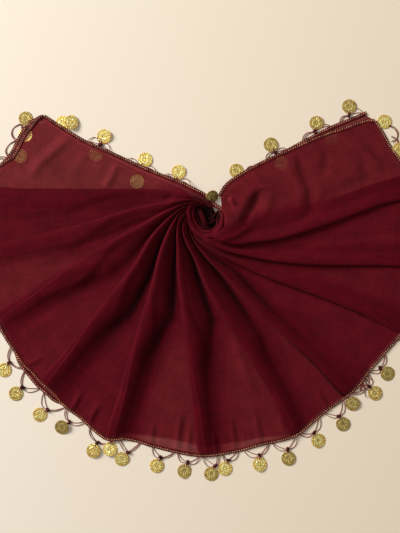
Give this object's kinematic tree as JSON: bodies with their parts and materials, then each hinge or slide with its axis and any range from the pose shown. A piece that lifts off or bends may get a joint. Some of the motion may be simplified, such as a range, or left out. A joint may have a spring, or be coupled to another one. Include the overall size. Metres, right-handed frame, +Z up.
{
  "type": "coin hip scarf",
  "caption": "Sheer hip scarf laid out as a fan: a doubled chiffon cloth drawn into a pinwheel of pleats round an open eye, with a crochet hem, thread loops and coins.",
  "frame": {"origin": "middle of the bounding box on the surface that the scarf lies on", "axes": "+X to the right of the picture, +Y to its top, +Z up out of the surface"},
  "size_m": [0.6718, 0.4845, 0.0149],
  "materials": {
    "chiffon": "sheer matte weave",
    "thread": "crochet thread",
    "gold": "embossed, bright"
  },
  "bodies": {
    "root": {"band_bottom_1": "thread", "band_bottom_2": "thread", "band_bottom_3": "thread", "band_bottom_4": "thread", "band_left": "thread", "band_right": "thread", "band_top_left": "thread", "band_top_right": "thread", "band_under_left": "thread", "band_upper_right": "thread", "coin_01": "gold", "coin_02": "gold", "coin_03": "gold", "coin_04": "gold", "coin_05": "gold", "coin_06": "gold", "coin_07": "gold", "coin_08": "gold", "coin_09": "gold", "coin_10": "gold", "coin_11": "gold", "coin_12": "gold", "coin_13": "gold", "coin_14": "gold", "coin_15": "gold", "coin_16": "gold", "coin_17": "gold", "coin_18": "gold", "coin_19": "gold", "coin_20": "gold", "coin_21": "gold", "coin_22": "gold", "coin_23": "gold", "coin_24": "gold", "coin_25": "gold", "coin_26": "gold", "coin_27": "gold", "coin_28": "gold", "coin_29": "gold", "coin_30": "gold", "coin_31": "gold", "coin_32": "gold", "coin_33": "gold", "coin_34": "gold", "coin_35": "gold", "coin_36": "gold", "coin_37": "gold", "coin_38": "gold", "coin_39": "gold", "coin_40": "gold", "coin_41": "gold", "coin_42": "gold", "hidden_coin_1": "gold", "hidden_coin_2": "gold", "hidden_coin_3": "gold", "hidden_coin_4": "gold", "hidden_coin_5": "gold", "under_cloth": "chiffon", "upper_cloth": "chiffon"}
  },
  "joints": []
}
